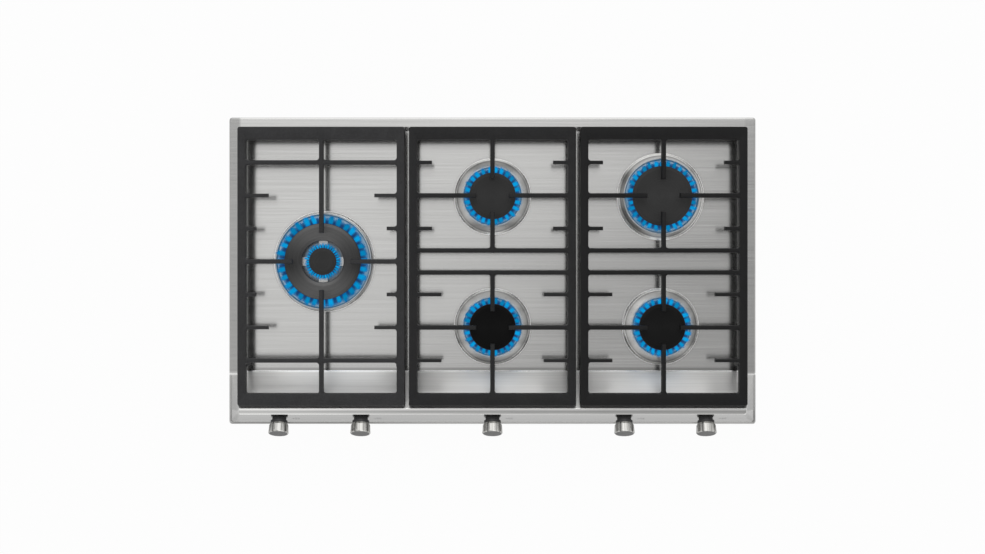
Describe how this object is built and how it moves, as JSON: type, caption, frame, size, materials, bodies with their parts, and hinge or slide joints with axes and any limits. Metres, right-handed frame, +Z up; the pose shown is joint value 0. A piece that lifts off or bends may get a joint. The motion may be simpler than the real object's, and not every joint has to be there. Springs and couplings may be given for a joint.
{
  "type": "gas cooktop",
  "caption": "Built-in gas cooktop, brushed steel plate with a raised front console of push-and-turn knobs, cast-iron pan supports, triple-ring, rapid and smaller burners.",
  "frame": {"origin": "centre of the steel plate's outline, on the worktop surface that the seal rests on", "axes": "+X to the user's right, +Y to the back, +Z up out of the worktop"},
  "size_m": [0.914, 0.5514, 0.135],
  "materials": {
    "stainless": "brushed stainless steel",
    "seal_foam": "closed-cell foam",
    "galvanised": "zinc-coated sheet",
    "cast_iron": "matt black enamel on cast iron",
    "burner_alloy": "cast and bead-blasted",
    "cap_enamel": "matt black enamel",
    "knob_metal": "satin chrome",
    "knob_black": "moulded, matt",
    "rubber": "moulded",
    "stem_steel": "turned steel",
    "brass": "machined",
    "pipe_alloy": "drawn tube",
    "ceramic": "glazed ceramic",
    "module_plastic": "moulded",
    "lead_silicone": "silicone-sleeved lead",
    "fastener_steel": "zinc-plated"
  },
  "bodies": {
    "root": {"top_tray": "stainless", "worktop_seal": "seal_foam", "burner_box": "galvanised", "gas_manifold": "pipe_alloy", "gas_inlet_elbow": "brass", "inner_brackets": "galvanised", "valve_bodies": "brass", "knob_collars": "rubber", "gas_pipes": "pipe_alloy", "gas_jets": "brass", "electrode_insulators": "ceramic", "electrode_rods": "stem_steel", "spark_module": "module_plastic", "ignition_leads": "lead_silicone", "worktop_clamps": "galvanised", "screws": "fastener_steel", "cord_gland": "knob_black", "burner_cup_triple": "burner_alloy", "burner_cup_rear_centre": "burner_alloy", "burner_cup_front_centre": "burner_alloy", "burner_cup_rear_right": "burner_alloy", "burner_cup_front_right": "burner_alloy"},
    "tap_1": {"valve_plug_1": "brass"},
    "knob_1": {"valve_stem_1": "stem_steel", "knob_core_1": "knob_black", "knob_barrel_1": "knob_metal"},
    "tap_2": {"valve_plug_2": "brass"},
    "knob_2": {"valve_stem_2": "stem_steel", "knob_core_2": "knob_black", "knob_barrel_2": "knob_metal"},
    "tap_3": {"valve_plug_3": "brass"},
    "knob_3": {"valve_stem_3": "stem_steel", "knob_core_3": "knob_black", "knob_barrel_3": "knob_metal"},
    "tap_4": {"valve_plug_4": "brass"},
    "knob_4": {"valve_stem_4": "stem_steel", "knob_core_4": "knob_black", "knob_barrel_4": "knob_metal"},
    "tap_5": {"valve_plug_5": "brass"},
    "knob_5": {"valve_stem_5": "stem_steel", "knob_core_5": "knob_black", "knob_barrel_5": "knob_metal"},
    "support_left": {"grate_left": "cast_iron", "grate_feet_left": "rubber"},
    "head_triple": {"burner_head_triple": "burner_alloy"},
    "cap_triple": {"burner_cap_triple": "cap_enamel"},
    "cap_triple_inner": {"burner_cap_triple_inner": "cap_enamel"},
    "support_centre": {"grate_centre": "cast_iron", "grate_feet_centre": "rubber"},
    "head_rear_centre": {"burner_head_rear_centre": "burner_alloy"},
    "cap_rear_centre": {"burner_cap_rear_centre": "cap_enamel"},
    "head_front_centre": {"burner_head_front_centre": "burner_alloy"},
    "cap_front_centre": {"burner_cap_front_centre": "cap_enamel"},
    "support_right": {"grate_right": "cast_iron", "grate_feet_right": "rubber"},
    "head_rear_right": {"burner_head_rear_right": "burner_alloy"},
    "cap_rear_right": {"burner_cap_rear_right": "cap_enamel"},
    "head_front_right": {"burner_head_front_right": "burner_alloy"},
    "cap_front_right": {"burner_cap_front_right": "cap_enamel"}
  },
  "joints": [
    {"name": "knob_1_turn", "type": "hinge", "parent": "root", "child": "tap_1", "pos_m": [-0.367, -0.2542, 0.0285], "axis": [0, -0.9224, 0.3861], "range_deg": [0, 270]},
    {"name": "knob_1_push", "type": "slide", "parent": "tap_1", "child": "knob_1", "axis": [0, 0.9224, -0.3861], "range_m": [0, 0.004], "stiffness_N_per_m": 1500, "springref_m": -0.005},
    {"name": "knob_2_turn", "type": "hinge", "parent": "root", "child": "tap_2", "pos_m": [-0.2265, -0.2542, 0.0285], "axis": [0, -0.9224, 0.3861], "range_deg": [0, 270]},
    {"name": "knob_2_push", "type": "slide", "parent": "tap_2", "child": "knob_2", "axis": [0, 0.9224, -0.3861], "range_m": [0, 0.004], "stiffness_N_per_m": 1500, "springref_m": -0.005},
    {"name": "knob_3_turn", "type": "hinge", "parent": "root", "child": "tap_3", "pos_m": [0, -0.2542, 0.0285], "axis": [0, -0.9224, 0.3861], "range_deg": [0, 270]},
    {"name": "knob_3_push", "type": "slide", "parent": "tap_3", "child": "knob_3", "axis": [0, 0.9224, -0.3861], "range_m": [0, 0.004], "stiffness_N_per_m": 1500, "springref_m": -0.005},
    {"name": "knob_4_turn", "type": "hinge", "parent": "root", "child": "tap_4", "pos_m": [0.2265, -0.2542, 0.0285], "axis": [0, -0.9224, 0.3861], "range_deg": [0, 270]},
    {"name": "knob_4_push", "type": "slide", "parent": "tap_4", "child": "knob_4", "axis": [0, 0.9224, -0.3861], "range_m": [0, 0.004], "stiffness_N_per_m": 1500, "springref_m": -0.005},
    {"name": "knob_5_turn", "type": "hinge", "parent": "root", "child": "tap_5", "pos_m": [0.367, -0.2542, 0.0285], "axis": [0, -0.9224, 0.3861], "range_deg": [0, 270]},
    {"name": "knob_5_push", "type": "slide", "parent": "tap_5", "child": "knob_5", "axis": [0, 0.9224, -0.3861], "range_m": [0, 0.004], "stiffness_N_per_m": 1500, "springref_m": -0.005},
    {"name": "support_left_lift", "type": "slide", "parent": "root", "child": "support_left", "axis": [0, 0, 1], "range_m": [0, 0.15]},
    {"name": "head_triple_lift", "type": "slide", "parent": "root", "child": "head_triple", "axis": [0, 0, 1], "range_m": [0, 0.045]},
    {"name": "cap_triple_lift", "type": "slide", "parent": "head_triple", "child": "cap_triple", "axis": [0, 0, 1], "range_m": [0, 0.045]},
    {"name": "cap_triple_inner_lift", "type": "slide", "parent": "head_triple", "child": "cap_triple_inner", "axis": [0, 0, 1], "range_m": [0, 0.045]},
    {"name": "support_centre_lift", "type": "slide", "parent": "root", "child": "support_centre", "axis": [0, 0, 1], "range_m": [0, 0.15]},
    {"name": "head_rear_centre_lift", "type": "slide", "parent": "root", "child": "head_rear_centre", "axis": [0, 0, 1], "range_m": [0, 0.045]},
    {"name": "cap_rear_centre_lift", "type": "slide", "parent": "head_rear_centre", "child": "cap_rear_centre", "axis": [0, 0, 1], "range_m": [0, 0.045]},
    {"name": "head_front_centre_lift", "type": "slide", "parent": "root", "child": "head_front_centre", "axis": [0, 0, 1], "range_m": [0, 0.045]},
    {"name": "cap_front_centre_lift", "type": "slide", "parent": "head_front_centre", "child": "cap_front_centre", "axis": [0, 0, 1], "range_m": [0, 0.045]},
    {"name": "support_right_lift", "type": "slide", "parent": "root", "child": "support_right", "axis": [0, 0, 1], "range_m": [0, 0.15]},
    {"name": "head_rear_right_lift", "type": "slide", "parent": "root", "child": "head_rear_right", "axis": [0, 0, 1], "range_m": [0, 0.045]},
    {"name": "cap_rear_right_lift", "type": "slide", "parent": "head_rear_right", "child": "cap_rear_right", "axis": [0, 0, 1], "range_m": [0, 0.045]},
    {"name": "head_front_right_lift", "type": "slide", "parent": "root", "child": "head_front_right", "axis": [0, 0, 1], "range_m": [0, 0.045]},
    {"name": "cap_front_right_lift", "type": "slide", "parent": "head_front_right", "child": "cap_front_right", "axis": [0, 0, 1], "range_m": [0, 0.045]}
  ],
  "couplings": [
    {"joint": "head_triple_lift", "follows": "support_left_lift", "ratio": 0.3},
    {"joint": "cap_triple_lift", "follows": "support_left_lift", "ratio": 0.3},
    {"joint": "cap_triple_inner_lift", "follows": "support_left_lift", "ratio": 0.3},
    {"joint": "head_rear_centre_lift", "follows": "support_centre_lift", "ratio": 0.3},
    {"joint": "cap_rear_centre_lift", "follows": "support_centre_lift", "ratio": 0.3},
    {"joint": "head_front_centre_lift", "follows": "support_centre_lift", "ratio": 0.3},
    {"joint": "cap_front_centre_lift", "follows": "support_centre_lift", "ratio": 0.3},
    {"joint": "head_rear_right_lift", "follows": "support_right_lift", "ratio": 0.3},
    {"joint": "cap_rear_right_lift", "follows": "support_right_lift", "ratio": 0.3},
    {"joint": "head_front_right_lift", "follows": "support_right_lift", "ratio": 0.3},
    {"joint": "cap_front_right_lift", "follows": "support_right_lift", "ratio": 0.3}
  ]
}
